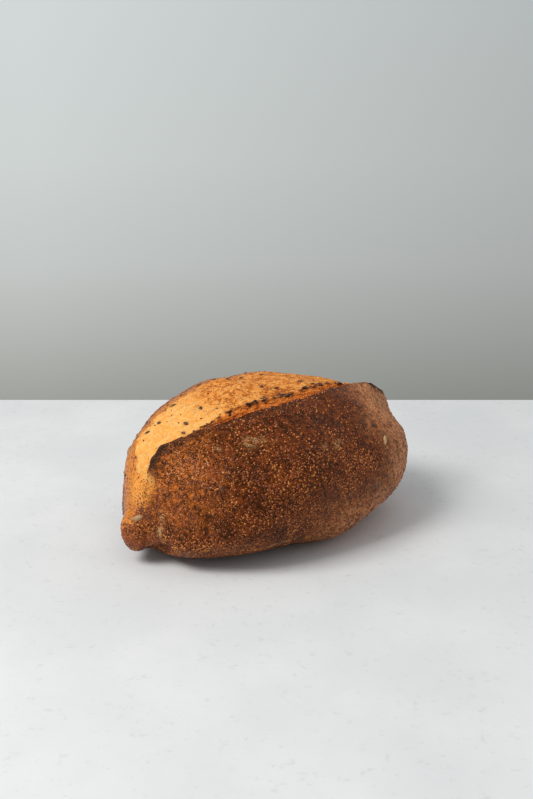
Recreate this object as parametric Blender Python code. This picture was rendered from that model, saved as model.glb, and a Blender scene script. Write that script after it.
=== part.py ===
"""A seeded batard loaf: an oval hearth loaf with one long slash, a raised ear and seeds in its crust.

Metres, +Z up. The loaf lies along X on its flat base at z = 0, its knobbed end at -X. The dark crust
with the ear is on the -Y side, and the pale bloom that opened behind the ear is on the +Y side.
"""
import math

import bmesh
import bpy
import numpy as np
from mathutils import Matrix, Vector

# Overall size
LENGTH = 0.250
HEIGHT = 0.1125
DARK_HALF_WIDTH = 0.0892
BLOOM_HALF_WIDTH = 0.0785
WIDEST_AT = 0.006
CENTRE_HEIGHT = 0.047
FAR_CENTRE_HEIGHT = 0.050
BASE_SINK = 0.005

# Knob at the near end
KNOB_LENGTH = 0.027
KNOB_RADIUS = 0.0170
KNOB_HEIGHT = 0.0250
KNOB_SIDE = -0.001
BODY_STARTS = -0.1140
BASE_STARTS = -0.1110
TUCK_DEPTH = 0.004
# The fold beside the knob, as (degrees round, along)
CREASE_LINE = ((28, -0.1064), (60, -0.1085), (89, -0.1104), (104, -0.1097), (117, -0.1084))
CREASE_WIDTH = 0.0042
CREASE_DEPTH = 0.0140
CREASE_ROUND = (math.radians(28), math.radians(36))
SEAM_DEPTH = 0.0020
SEAM_ROUND = (math.radians(110), math.radians(35))
BLEND = 0.008

# Roundness of the plan, the top and the underside, towards each end
NEAR_PLAN = (2.60, 1.75)
FAR_PLAN = (3.05, 2.10)
NEAR_TOP = (2.30, 2.75)
FAR_TOP = (1.95, 2.25)
NEAR_UNDER = (3.7, 2.0)
FAR_UNDER = (4.0, 2.0)

# Roundness of a cross-section
SIDE_POWER = 2.13
TOP_POWER = 2.05
UNDER_POWER = 2.30

# Slash: where the ear runs, as (along, across)
EAR_LINE = ((-0.105, -0.011), (-0.060, -0.0365), (0.0, -0.0455), (0.060, -0.0365), (0.118, -0.011))
# Where the ear swings out over the bloom near the knob: along, step across, reach along
EAR_SWING = (-0.0940, 0.0036, 0.0060)
SLASH_NEAR = -0.1095
SLASH_FAR = 0.121
LIP_NEAR = 0.0062
LIP_MIDDLE = 0.0034
LIP_FAR = 0.0080
LIP_SPREAD = 0.010
TROUGH_DEPTH = 0.0046
TORN_NEAR = 0.0045
TORN_MIDDLE = 0.0115
TORN_FAR = 0.0060
BLOOM_ARC = math.radians(78)
BLOOM_DIP = 0.0030

# Unevenness of hand shaping
LUMP_COUNT = 9
LUMP_HEIGHT = 0.00045
LUMP_SEED = 7
# Broad swellings and hollows: along, degrees round, height, reach along, reach round in degrees
SWELLINGS = (
    (-0.022, 205, 0.0042, 0.018, 30),
    (-0.099, 204, 0.0042, 0.013, 24),
    (0.012, 50, 0.0056, 0.023, 26),
    (-0.117, 12, 0.0022, 0.006, 40),
    (0.100, 135, -0.0030, 0.011, 16),
    (0.084, 98, -0.0024, 0.022, 28),
)

# Mesh: columns over the dark crust, the torn band, the bloom and the back crust
COLUMNS = (25, 8, 17, 13)
RINGS = 62

# Seeds baked into the crust, as (count, length, width, thickness)
KERNELS = (12, 0.0092, 0.0044, 0.0032)
HUSKS = (12, 0.0070, 0.0034, 0.0030)
SMALL_SEEDS = (16, 0.0052, 0.0028, 0.0026)
SEED_GAP = 0.008
SEED_SUNK = 0.15
SEED_RULE = 21
# Seeds that stand out: along, and degrees round from the base over the dark side
MARKED_KERNELS = ((0.060, 115), (0.087, 145), (-0.116, 150))
MARKED_HUSKS = (
    (0.055, 127), (0.053, 142), (-0.080, 119), (-0.017, 162), (-0.003, 162), (0.041, 165), (-0.033, 200),
)
MARKED_SMALL = (
    (-0.075, 172), (-0.081, 167), (-0.059, 175), (-0.006, 173), (0.003, 169), (0.030, 171), (0.015, 188),
    (-0.004, 189), (-0.016, 190), (-0.021, 197), (-0.050, 200), (-0.065, 194), (-0.082, 191), (-0.090, 195),
    (-0.107, 218), (0.056, 103), (0.005, 137),
)
BACK_SIDE = (205.0, 305.0)

CRUST_COLOUR = (0.20, 0.075, 0.022, 1.0)
CRUST_ROUGHNESS = 0.55


# Shared curves
def ease(value):
    """A smooth step from 0 to 1."""
    value = np.clip(value, 0.0, 1.0)
    return value * value * (3.0 - 2.0 * value)


def blended_max(first, second, blend):
    """The larger of two lengths, with a rounded corner where they cross."""
    return 0.5 * (first + second + np.sqrt((first - second) ** 2 + blend**2))


def round_off(reach, powers):
    """How a profile falls from 1 to 0 as reach goes from 0 to 1."""
    return np.clip(1.0 - reach ** powers[0], 0.0, 1.0) ** (1.0 / powers[1])


def lumps(along, angle):
    """Low waves over the crust, from a fixed rule."""
    rule = np.random.default_rng(LUMP_SEED)
    total = np.zeros_like(angle)
    for _ in range(LUMP_COUNT):
        waves = rule.uniform(1.0, 4.5) * 2.0 * math.pi / LENGTH
        turns = rule.integers(0, 6)
        shift, turn = rule.uniform(0.0, 2.0 * math.pi, 2)
        total += np.sin(waves * along + shift) * np.cos(turns * angle + turn)
    return LUMP_HEIGHT * total * ease((LENGTH / 2.0 - np.abs(along)) / 0.020)


def swellings(along, angle):
    """The broad swellings and hollows, which fade out at the two tips."""
    total = np.zeros_like(angle)
    for station, degrees, height, reach_along, reach_round in SWELLINGS:
        turn = np.mod(angle - math.radians(degrees) + math.pi, 2.0 * math.pi) - math.pi
        away = ((along - station) / reach_along) ** 2 + (turn / math.radians(reach_round)) ** 2
        total += height * np.exp(-away)
    return total * ease((LENGTH / 2.0 - np.abs(along)) / 0.006)


# Body
def section(along):
    """Centre (across, up) and reaches (dark side, bloom side, up, down) of the section at this station."""
    far_end = LENGTH / 2.0
    near = along < WIDEST_AT
    near_reach = np.clip((WIDEST_AT - along) / (WIDEST_AT - BODY_STARTS), 0.0, 1.0)
    base_reach = np.clip((WIDEST_AT - along) / (WIDEST_AT - BASE_STARTS), 0.0, 1.0)
    far_reach = np.clip((along - WIDEST_AT) / (far_end - WIDEST_AT), 0.0, 1.0)
    plan = np.where(near, round_off(near_reach, NEAR_PLAN), round_off(far_reach, FAR_PLAN))
    top = np.where(near, round_off(near_reach, NEAR_TOP), round_off(far_reach, FAR_TOP))
    under = np.where(near, round_off(base_reach, NEAR_UNDER), round_off(far_reach, FAR_UNDER))

    knob_reach = np.clip((along + far_end) / KNOB_LENGTH, 0.0, 1.0)
    knob = np.sqrt(np.clip(1.0 - (1.0 - knob_reach) ** 2, 0.0, 1.0)) * np.sqrt(1.0 - far_reach**6)
    blend = BLEND * knob
    drop = ease((near_reach - 0.35) / 0.65)
    centre_up = CENTRE_HEIGHT + (FAR_CENTRE_HEIGHT - CENTRE_HEIGHT) * ease(far_reach)
    centre_up = centre_up + (KNOB_HEIGHT - CENTRE_HEIGHT) * drop
    centre_across = KNOB_SIDE * drop

    knob = KNOB_RADIUS * knob
    up = blended_max((HEIGHT - centre_up) * top, knob, blend)
    down = blended_max((centre_up + BASE_SINK) * under, knob, blend)
    dark = blended_max(DARK_HALF_WIDTH * plan, knob, blend)
    pale = blended_max(BLOOM_HALF_WIDTH * plan, knob, blend)
    return centre_across, centre_up, dark, pale, up, down


def body(along, angle):
    """Points of the plain body. The angle runs from the base round the dark side to the crown and back."""
    centre_across, centre_up, dark, pale, up, down = section(along)
    side, rise = np.sin(angle), np.cos(angle)
    reach = np.where(side > 0.0, dark, pale)
    bulge = np.sign(side) * np.abs(side) ** (2.0 / SIDE_POWER)
    across = centre_across - reach * bulge
    below = centre_up - down * np.abs(rise) ** (2.0 / UNDER_POWER)
    above = centre_up + up * np.abs(rise) ** (2.0 / TOP_POWER)
    height = np.maximum(np.where(rise > 0.0, below, above), 0.0)
    low = np.clip(1.0 - height / 0.060, 0.0, 1.0)
    across = across - TUCK_DEPTH * ease((-0.060 - along) / 0.050) * low * np.maximum(-bulge, 0.0)
    return np.stack([along, across, height], axis=-1)


def stations(share):
    """Turns a share of the way from the knob to the far end into a station, evenly along the surface."""
    along = -np.cos(np.linspace(0.0, math.pi, 4001)) * LENGTH / 2.0
    centre_across, centre_up, dark, pale, up, down = section(along)
    steps = np.sqrt(np.diff(along) ** 2 + np.diff(dark) ** 2 + np.diff(centre_up + up) ** 2)
    path = np.concatenate([[0.0], np.cumsum(steps)])
    return np.interp(share, path / path[-1], along)


# Slash
def slash_lines(along):
    """Angles of the ear, of the torn band's ridge and of the bloom's back edge, and the arc radius."""
    centre_across, centre_up, dark, pale, up, down = section(along)
    ear_along, offsets = np.array(EAR_LINE).T
    line = np.polyfit(ear_along, offsets, 4)
    ear_across = np.polyval(line, np.clip(along, ear_along[0], ear_along[-1])) - centre_across
    ear_across = ear_across + EAR_SWING[1] * np.exp(-(((along - EAR_SWING[0]) / EAR_SWING[2]) ** 2))
    reach = np.maximum(np.where(ear_across < 0.0, dark, pale), 1e-6)
    share = np.clip(ear_across / reach, -0.97, 0.97)
    ear = math.pi + np.arcsin(np.sign(share) * np.abs(share) ** (SIDE_POWER / 2.0))
    radius = np.maximum(0.5 * (dark + 0.8 * up), 0.006)
    torn = TORN_NEAR + (TORN_MIDDLE - TORN_NEAR) * ease((along + 0.075) / 0.035)
    torn = torn + (TORN_FAR - TORN_MIDDLE) * ease((along - 0.030) / 0.070)
    ridge = ear + torn / radius
    run = np.clip((along - SLASH_NEAR) / (SLASH_FAR - SLASH_NEAR), 0.0, 1.0)
    back = ridge + math.radians(12) + BLOOM_ARC * np.sin(math.pi * run) ** 0.7
    return ear, ridge, back, radius


def around(along, share):
    """Turns a share of the way round the mesh into an angle, with columns lying on the slash's lines."""
    ear, ridge, back, radius = slash_lines(along)
    ends = np.cumsum((0,) + COLUMNS) / sum(COLUMNS)
    angles = np.stack([np.zeros_like(ear), ear, ridge, back, np.full_like(ear, 2.0 * math.pi)])
    zone = np.clip(np.searchsorted(ends, share + 1e-6, side="right") - 1, 0, 3)
    within = (share - ends[zone]) / (ends[zone + 1] - ends[zone])
    rows = np.arange(len(along))
    angle = angles[zone, rows] * (1.0 - within) + angles[zone + 1, rows] * within
    return angle, zone, within


def outward(along, angle):
    """Unit normal and unit tangent (towards the bloom) of the plain body."""
    step, stride = 1e-3, 5e-5
    inner = np.clip(along, -LENGTH / 2.0 + 2e-4, LENGTH / 2.0 - 2e-4)
    round_way = body(along, angle + step) - body(along, angle - step)
    long_way = body(inner + stride, angle) - body(inner - stride, angle)
    normal = np.cross(long_way, round_way)
    normal /= np.linalg.norm(normal, axis=-1, keepdims=True) + 1e-12
    tangent = round_way / (np.linalg.norm(round_way, axis=-1, keepdims=True) + 1e-12)
    return normal, tangent


def slash_relief(along, angle, zone, within):
    """How far the slash lifts the surface, and how far it pushes it towards the bloom."""
    ear, ridge, back, radius = slash_lines(along)
    fade = ease((along - SLASH_NEAR) / 0.010) * ease((SLASH_FAR - along) / 0.006)
    lip = LIP_MIDDLE + (LIP_NEAR - LIP_MIDDLE) * ease((-0.045 - along) / 0.040)
    lip = fade * (lip + (LIP_FAR - LIP_MIDDLE) * ease((along - 0.045) / 0.055))
    depth = fade * TROUGH_DEPTH
    from_ear = (angle - ear) * radius
    from_ridge = (angle - ridge) * radius
    stops = (0.0, 0.125, 0.25, 0.375, 0.625, 1.0)
    lift_in_tear = lip * np.interp(within, stops, (1.0, 0.9, 0.3, 0.0, 0.0, 0.0))
    lift_in_tear += depth * np.interp(within, stops, (0.0, 0.0, -0.45, -1.0, -0.5, 0.15))
    push_in_tear = fade * np.interp(within, stops, (0.0015, 0.0017, -0.0006, -0.0020, 0.0, 0.0))
    lift_on_dark = lip * np.exp(-((from_ear / LIP_SPREAD) ** 2))
    push_on_dark = 0.0015 * fade * np.exp(-((from_ear / 0.005) ** 2))
    lift_on_bloom = 0.15 * depth * np.exp(-((from_ridge / 0.003) ** 2))
    dip = ease((along - 0.020) / 0.050) * ease(from_ridge / 0.012) * ease((back - angle) * radius / 0.030)
    lift_on_bloom -= BLOOM_DIP * dip
    kinds = [zone == 0, zone == 1, zone == 2]
    lift = np.select(kinds, [lift_on_dark, lift_in_tear, lift_on_bloom], 0.0)
    push = np.select(kinds[:2], [push_on_dark, push_in_tear], 0.0)
    return lift, push


def crease(along, angle):
    """The fold that sets the knob off from the dark side: deep at the table, a shallow seam above."""
    low = CREASE_DEPTH * np.exp(-(((angle - CREASE_ROUND[0]) / CREASE_ROUND[1]) ** 2))
    seam = SEAM_DEPTH * np.exp(-(((angle - SEAM_ROUND[0]) / SEAM_ROUND[1]) ** 2))
    degrees, spots = np.array(CREASE_LINE).T
    middle = np.interp(angle, np.radians(degrees), spots)
    return (low + seam) * np.exp(-(((along - middle) / CREASE_WIDTH) ** 2))


def crust_point(along, angle, zone, within):
    """Points of the finished crust and their normals."""
    point = body(along, angle)
    normal, tangent = outward(along, angle)
    lift, push = slash_relief(along, angle, zone, within)
    off_base = np.clip(point[:, 2] / 0.012, 0.0, 1.0)
    lift = lift + lumps(along, angle) * off_base + swellings(along, angle) - crease(along, angle)
    point = point + normal * lift[:, None] + tangent * push[:, None]
    point[:, 2] = np.maximum(point[:, 2], 0.0)
    return point, normal


# Objects
def clear_scene():
    for item in list(bpy.data.objects):
        bpy.data.objects.remove(item, do_unlink=True)


def new_collection(name):
    collection = bpy.data.collections.new(name)
    bpy.context.scene.collection.children.link(collection)
    return collection


def crust_material():
    material = bpy.data.materials.new("browned_crust")
    material.use_nodes = True
    shader = material.node_tree.nodes["Principled BSDF"]
    shader.inputs["Base Color"].default_value = CRUST_COLOUR
    shader.inputs["Roughness"].default_value = CRUST_ROUGHNESS
    shader.inputs["Metallic"].default_value = 0.0
    return material


def mesh_positions(mesh):
    flat = np.empty(len(mesh.vertices) * 3)
    mesh.vertices.foreach_get("co", flat)
    return flat.reshape(-1, 3)


def add_loaf(collection):
    """A sphere with its poles along X, moulded into the loaf."""
    mesh = bpy.data.meshes.new("loaf")
    ball = bmesh.new()
    bmesh.ops.create_uvsphere(ball, u_segments=sum(COLUMNS), v_segments=RINGS, radius=1.0)
    ball.to_mesh(mesh)
    ball.free()
    sphere = mesh_positions(mesh)
    along = stations(np.arccos(np.clip(-sphere[:, 2], -1.0, 1.0)) / math.pi)
    share = np.mod(np.arctan2(sphere[:, 1], sphere[:, 0]) / (2.0 * math.pi), 1.0)
    columns = sum(COLUMNS)
    share = np.mod(np.round(share * columns), columns) / columns
    angle, zone, within = around(along, share)
    points, _ = crust_point(along, angle, zone, within)
    mesh.vertices.foreach_set("co", points.ravel())
    mesh.update()
    loaf = bpy.data.objects.new("loaf", mesh)
    collection.objects.link(loaf)
    mesh.materials.append(crust_material())
    face_out(mesh)
    return loaf


def face_out(mesh):
    """Turns every face to look outwards."""
    shell = bmesh.new()
    shell.from_mesh(mesh)
    bmesh.ops.recalc_face_normals(shell, faces=shell.faces)
    if shell.calc_volume(signed=True) < 0.0:
        bmesh.ops.reverse_faces(shell, faces=shell.faces)
    shell.to_mesh(mesh)
    shell.free()


def seed_spots():
    """Where seeds lie: the marked ones first, then the back side's by a fixed rule, largest first."""
    rule = np.random.default_rng(SEED_RULE)
    spots = []
    for marked, kind in ((MARKED_KERNELS, KERNELS), (MARKED_HUSKS, HUSKS), (MARKED_SMALL, SMALL_SEEDS)):
        for along, degrees in marked:
            spots.append(spot_at(along, math.radians(degrees), kind[1:], rule))
    for count, length, width, thickness in (KERNELS, HUSKS, SMALL_SEEDS):
        wanted = len(spots) + count
        while len(spots) < wanted:
            along = rule.uniform(-0.100, 0.112)
            angle = math.radians(rule.uniform(*BACK_SIDE))
            spot = spot_at(along, angle, (length, width, thickness), rule)
            if spot[0].z > 0.012 and all((spot[0] - other[0]).length > SEED_GAP for other in spots):
                spots.append(spot)
    return spots


def spot_at(along, angle, size, rule):
    """A seed's place, its outward direction, its turn and its size."""
    ear, ridge, back, radius = slash_lines(np.array([along]))
    zone = np.array([0 if angle < ear[0] else 2 if angle < back[0] else 3])
    point, normal = crust_point(np.array([along]), np.array([angle]), zone, np.array([0.5]))
    turn = rule.uniform(0.0, math.pi)
    scale = rule.uniform(0.85, 1.08)
    return Vector(point[0]), Vector(normal[0]), turn, [side * scale for side in size]


def add_seed(number, spot, collection):
    """A pointed, flattened seed lying in the crust."""
    point, outward_way, turn, (length, width, thickness) = spot
    shape = bmesh.new()
    bmesh.ops.create_uvsphere(shape, u_segments=7, v_segments=4, radius=0.5)
    for vertex in shape.verts:
        narrow = 1.0 - 0.45 * max(vertex.co.z, 0.0) / 0.5
        vertex.co.x *= thickness * narrow
        vertex.co.y *= width * narrow
        vertex.co.z *= length
    lay_flat = outward_way.to_track_quat("X", "Z").to_matrix().to_4x4()
    place = Matrix.Translation(point - outward_way * thickness * SEED_SUNK)
    shape.transform(place @ lay_flat @ Matrix.Rotation(turn, 4, "X"))
    bmesh.ops.recalc_face_normals(shape, faces=shape.faces)
    mesh = bpy.data.meshes.new(f"seed_{number:02d}")
    shape.to_mesh(mesh)
    shape.free()
    seed = bpy.data.objects.new(mesh.name, mesh)
    seed.hide_render = True
    seed.display_type = "WIRE"
    collection.objects.link(seed)


def fuse_seeds(loaf, collection):
    """One union joins every seed to the loaf, and the loose seeds are then removed."""
    union = loaf.modifiers.new("seeds", "BOOLEAN")
    union.operation = "UNION"
    union.operand_type = "COLLECTION"
    union.collection = collection
    union.solver = "EXACT"
    bpy.context.view_layer.objects.active = loaf
    bpy.ops.object.modifier_apply(modifier=union.name)
    for seed in list(collection.objects):
        bpy.data.objects.remove(seed, do_unlink=True)
    bpy.data.collections.remove(collection)


def centre_on_base(mesh):
    """Moves the loaf so that its box is centred over the origin."""
    points = mesh_positions(mesh)
    middle = (points.min(axis=0) + points.max(axis=0)) / 2.0
    points[:, :2] -= middle[:2]
    mesh.vertices.foreach_set("co", points.ravel())
    mesh.update()


def main():
    clear_scene()
    loaf_parts = new_collection("seeded_loaf")
    seeds = new_collection("seeds_to_fuse")
    loaf = add_loaf(loaf_parts)
    for number, spot in enumerate(seed_spots()):
        add_seed(number, spot, seeds)
    fuse_seeds(loaf, seeds)
    centre_on_base(loaf.data)
    loaf.data.shade_smooth()


main()
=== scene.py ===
import math

import bmesh
import bpy
import numpy as np
from mathutils import Matrix, Vector


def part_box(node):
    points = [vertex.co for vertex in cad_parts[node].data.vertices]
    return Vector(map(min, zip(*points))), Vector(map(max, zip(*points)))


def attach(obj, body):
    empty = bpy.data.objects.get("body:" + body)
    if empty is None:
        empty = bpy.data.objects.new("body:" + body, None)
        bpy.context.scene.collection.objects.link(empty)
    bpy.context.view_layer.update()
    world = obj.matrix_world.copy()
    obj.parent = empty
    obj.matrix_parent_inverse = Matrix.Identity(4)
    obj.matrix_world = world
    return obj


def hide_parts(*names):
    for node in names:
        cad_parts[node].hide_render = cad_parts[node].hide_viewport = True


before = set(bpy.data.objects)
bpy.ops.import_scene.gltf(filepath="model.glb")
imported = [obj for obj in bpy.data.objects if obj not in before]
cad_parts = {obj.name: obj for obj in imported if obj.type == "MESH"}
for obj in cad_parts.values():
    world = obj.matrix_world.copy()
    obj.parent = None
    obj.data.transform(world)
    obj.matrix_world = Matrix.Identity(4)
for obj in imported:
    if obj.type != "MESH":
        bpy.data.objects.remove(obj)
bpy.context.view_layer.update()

# Overall size
LENGTH = 0.250
HEIGHT = 0.1125
DARK_HALF_WIDTH = 0.0892
BLOOM_HALF_WIDTH = 0.0785
WIDEST_AT = 0.006
CENTRE_HEIGHT = 0.047
FAR_CENTRE_HEIGHT = 0.050
BASE_SINK = 0.005

# Knob at the near end
KNOB_LENGTH = 0.027
KNOB_RADIUS = 0.0170
KNOB_HEIGHT = 0.0250
KNOB_SIDE = -0.001
BODY_STARTS = -0.1140
BASE_STARTS = -0.1110
TUCK_DEPTH = 0.004
# The fold beside the knob, as (degrees round, along)
CREASE_LINE = ((28, -0.1064), (60, -0.1085), (89, -0.1104), (104, -0.1097), (117, -0.1084))
CREASE_WIDTH = 0.0042
CREASE_DEPTH = 0.0140
CREASE_ROUND = (math.radians(28), math.radians(36))
SEAM_DEPTH = 0.0020
SEAM_ROUND = (math.radians(110), math.radians(35))
BLEND = 0.008

# Roundness of the plan, the top and the underside, towards each end
NEAR_PLAN = (2.60, 1.75)
FAR_PLAN = (3.05, 2.10)
NEAR_TOP = (2.30, 2.75)
FAR_TOP = (1.95, 2.25)
NEAR_UNDER = (3.7, 2.0)
FAR_UNDER = (4.0, 2.0)

# Roundness of a cross-section
SIDE_POWER = 2.13
TOP_POWER = 2.05
UNDER_POWER = 2.30

# Slash: where the ear runs, as (along, across)
EAR_LINE = ((-0.105, -0.011), (-0.060, -0.0365), (0.0, -0.0455), (0.060, -0.0365), (0.118, -0.011))
# Where the ear swings out over the bloom near the knob: along, step across, reach along
EAR_SWING = (-0.0940, 0.0036, 0.0060)
SLASH_NEAR = -0.1095
SLASH_FAR = 0.121
LIP_NEAR = 0.0062
LIP_MIDDLE = 0.0034
LIP_FAR = 0.0080
LIP_SPREAD = 0.010
TROUGH_DEPTH = 0.0046
TORN_NEAR = 0.0045
TORN_MIDDLE = 0.0115
TORN_FAR = 0.0060
BLOOM_ARC = math.radians(78)
BLOOM_DIP = 0.0030

# Unevenness of hand shaping
LUMP_COUNT = 9
LUMP_HEIGHT = 0.00045
LUMP_SEED = 7
# Broad swellings and hollows: along, degrees round, height, reach along, reach round in degrees
SWELLINGS = (
    (-0.022, 205, 0.0042, 0.018, 30),
    (-0.099, 204, 0.0042, 0.013, 24),
    (0.012, 50, 0.0056, 0.023, 26),
    (-0.117, 12, 0.0022, 0.006, 40),
    (0.100, 135, -0.0030, 0.011, 16),
    (0.084, 98, -0.0024, 0.022, 28),
)

# Fine mesh: columns over the dark crust, the torn band, the bloom and the back crust
COLUMNS = (150, 34, 92, 54)
RINGS = 300

# Seeds baked into the crust, as (count, length, width, thickness)
KERNELS = (12, 0.0092, 0.0044, 0.0032)
HUSKS = (12, 0.0070, 0.0034, 0.0030)
SMALL_SEEDS = (16, 0.0052, 0.0028, 0.0026)
SEED_GAP = 0.008
SEED_SUNK = 0.15
SEED_RULE = 21
# Seeds that stand out: along, and degrees round from the base over the dark side
MARKED_KERNELS = ((0.060, 115), (0.087, 145), (-0.116, 150))
MARKED_HUSKS = (
    (0.055, 127), (0.053, 142), (-0.080, 119), (-0.017, 162), (-0.003, 162), (0.041, 165), (-0.033, 200),
)
MARKED_SMALL = (
    (-0.075, 172), (-0.081, 167), (-0.059, 175), (-0.006, 173), (0.003, 169), (0.030, 171), (0.015, 188),
    (-0.004, 189), (-0.016, 190), (-0.021, 197), (-0.050, 200), (-0.065, 194), (-0.082, 191), (-0.090, 195),
    (-0.107, 218), (0.056, 103), (0.005, 137),
)
BACK_SIDE = (205.0, 305.0)
SEED_SLICES = (12, 8)
# Kernels are longer than the first length, husks longer than the second
SEED_LENGTHS = (0.0076, 0.0058)

# Camera, from the photograph's framing
PICTURE = (533.0, 799.0)
AIM = Vector((0.0, 0.0059, 0.058))
AIM_PIXEL = (257.1, 449.3)
VIEW_TURN = math.radians(40.09)
VIEW_DOWN = math.radians(17.96)
VIEW_DISTANCE = 0.8523
LENS = 50.0
SENSOR = 36.0

# Table
TABLE_BACK_EDGE = 1.101
TABLE_SIZE = (3.2, 1.9, 0.03)

# Fine relief of the crust
DARK_WAVES = 0.0006
BLOOM_WAVES = 0.0009
TEAR_STRANDS = 0.0026
TEAR_WAVES = 0.0014
LIP_RAGS = 0.0020
FLAP_RAGS = 0.0040
FLAP_STARTS = (0.080, 0.020)
HOLE_DEPTH = 0.0013

# Noises over the crust, as (size, seed)
NOISE_LAYERS = 3
WANDER = (0.009, 61)
SPECKLE = (0.0030, 65)
PATCH = (0.024, 71)
RAGGED = (0.0055, 31)
COARSE = (0.0150, 35)
STRANDS = (0.0024, 41)
FLAKES = (0.0042, 45)
RAGS = (0.0050, 53)
STRAND_DRAW = (0.28, 1.0, 1.0)

# Stretches along the loaf where a shade comes in or goes out, as (where, length)
BLOOM_STARTS = (-0.1112, 0.0050)
BLOOM_ENDS = (SLASH_FAR + 0.002, 0.008)
BLOOM_ROUND_LIP = (-0.1035, 0.003)
BAND_WIDENS = (-0.080, 0.020)
LIP_STARTS = (SLASH_NEAR, 0.008)
TEAR_STARTS = (-0.087, 0.010)
TEAR_ENDS = (0.108, 0.020)
NEAR_BURN = (-0.074, 0.014)
FAR_BURN = (0.084, 0.010)
NEAR_HEAT = (-0.066, 0.020)
FAR_HEAT = (0.082, 0.012)
CRACK_STARTS = (-0.084, 0.010)
CRACK_ENDS = (0.085, 0.030)
KNOB_WARM_AND_LIT = (-0.107, 0.006)
MATT_STARTS = (0.024, 0.060)
END_STARTS = (0.036, 0.060)
# Painted bounce light: where the lightened lower side begins
PAINTED_BOUNCE_STARTS = (-0.036, 0.055)
BAKE_STARTS = (-0.070, 0.040)

# Places of single shades, as (along, across, up), and how far they reach: a warmer crust that also holds
# painted light, a painted light on the knob's end, and the patch of painted glints
WARM_AND_LIT_CENTRE = (-0.108, -0.020, 0.062)
WARM_AND_LIT_REACH = (0.058, 0.042)
PAINTED_LIGHT_CENTRE = (-0.1085, 0.002, 0.056)
PAINTED_LIGHT_REACH = (0.0182, 0.014)
GLINT_SHOULDER = (-0.082, -0.030, 0.080)
GLINT_SHOULDER_REACH = (0.0408, 0.034)
SEAM_WIDTH = 0.0007
SEAM_STARTS = (70.0, 12.0)
SEAM_ENDS = (124.0, 10.0)

# Where the bloom's colour ends at the back, as (along, degrees round)
BLOOM_EDGE = (
    (-0.112, 182), (-0.104, 194), (-0.094, 202), (-0.080, 200), (-0.050, 197), (-0.015, 195), (0.020, 199),
    (0.070, 204), (0.110, 196),
)
# Small holes in the crust, as along, degrees round and reach
HOLES = (
    (-0.1102, 103, 0.0013), (-0.1139, 148, 0.0015), (-0.1060, 127, 0.0010), (-0.0800, 117, 0.0016),
    (0.0540, 141, 0.0013), (0.0560, 128, 0.0012), (0.0890, 148, 0.0012), (0.0240, 149, 0.0010),
    (-0.0950, 173, 0.0008), (0.0755, 110, 0.0016), (0.0755, 107, 0.0022), (0.0752, 104, 0.0022),
    (0.0749, 101, 0.0022), (0.0746, 98, 0.0016),
)
# Flour left on the crust, as along, degrees round, reach along and reach round
FLOUR = (
    (-0.050, 138, 0.0100, 5.0), (0.0055, 121.5, 0.0110, 3.0), (-0.071, 143, 0.0030, 2.5),
    (-0.040, 58, 0.0260, 5.0), (0.030, 240, 0.0200, 9.0), (-0.040, 285, 0.0300, 10.0),
)

# Layers that keep the crust's masks, four in each
MASK_LAYERS = {
    "zones": ("bloom", "torn", "char", "band"),
    "wear_light_and_shade": ("warm_and_lit", "matt", "dust", "pit_shade"),
    "tone": ("bake", "seam", "painted_light", "end"),
}

# Blisters, as (count, largest reach, seed of the noise that bunches them); the bright kind are painted
# glints, pale specks that stand in for highlights
BLISTERS = {"gold": (6600, 0.00088, 81), "brown": (9400, 0.00112, 91), "painted_glint": (220, 0.00070, 81)}
BLISTER_RULE = 5
BLISTER_BUNCH = 0.011
# How far each of these masks keeps blisters off
BARE = {"bloom": 1.0, "torn": 1.0, "char": 1.0, "band": 0.8, "painted_light": 0.85, "matt": 0.75}
# One blister's two rings, as shares of its reach outwards and upwards, and its top
DOME_RINGS = ((1.0, -0.15), (0.74, 0.26))
DOME_TOP = 0.42
DOME_SIDES = 6
CRUMB_RULE = 9
CRUMB_COUNT = 90
SPECK_RULE = 15
SPECK_COUNT = 90

# Crust colours
DEEP_BROWN = (0.030, 0.0075, 0.0022)
MID_BROWN = (0.215, 0.043, 0.008)
# Warmer crust near the knob, bright enough to be partly painted light from the left
WARM_AND_LIT_BROWN = (0.660, 0.175, 0.026)
BLISTER_GOLD = (0.660, 0.250, 0.052)
MATT_TAN = (0.310, 0.108, 0.040)
# Tan of the far end, lightened to be partly painted light there and painted bounce light on the low side
END_TAN_AND_LIGHT = (0.730, 0.318, 0.138)
BLOOM_CREAM = (0.820, 0.462, 0.144)
BLOOM_YELLOW = (0.880, 0.372, 0.068)
BLOOM_ORANGE = (0.810, 0.265, 0.034)
BLOOM_BROWN = (0.300, 0.058, 0.010)
# Painted light: bright orange on the knob's end, where the light falls
PAINTED_LIGHT_ORANGE = (0.900, 0.360, 0.060)
OLD_CRUST = (0.560, 0.210, 0.062)
TORN_ORANGE = (0.780, 0.232, 0.038)
TORN_RED = (0.300, 0.054, 0.011)
CHAR = (0.034, 0.012, 0.0065)
FLOUR_TAN = (0.600, 0.390, 0.170)
SEAM_TAN = (0.620, 0.360, 0.160)
CRUST_GLOSS = (1.0, 0.43, 0.21, 1.0)
GRAIN_GLOSS = (1.0, 0.82, 0.70, 1.0)

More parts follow.
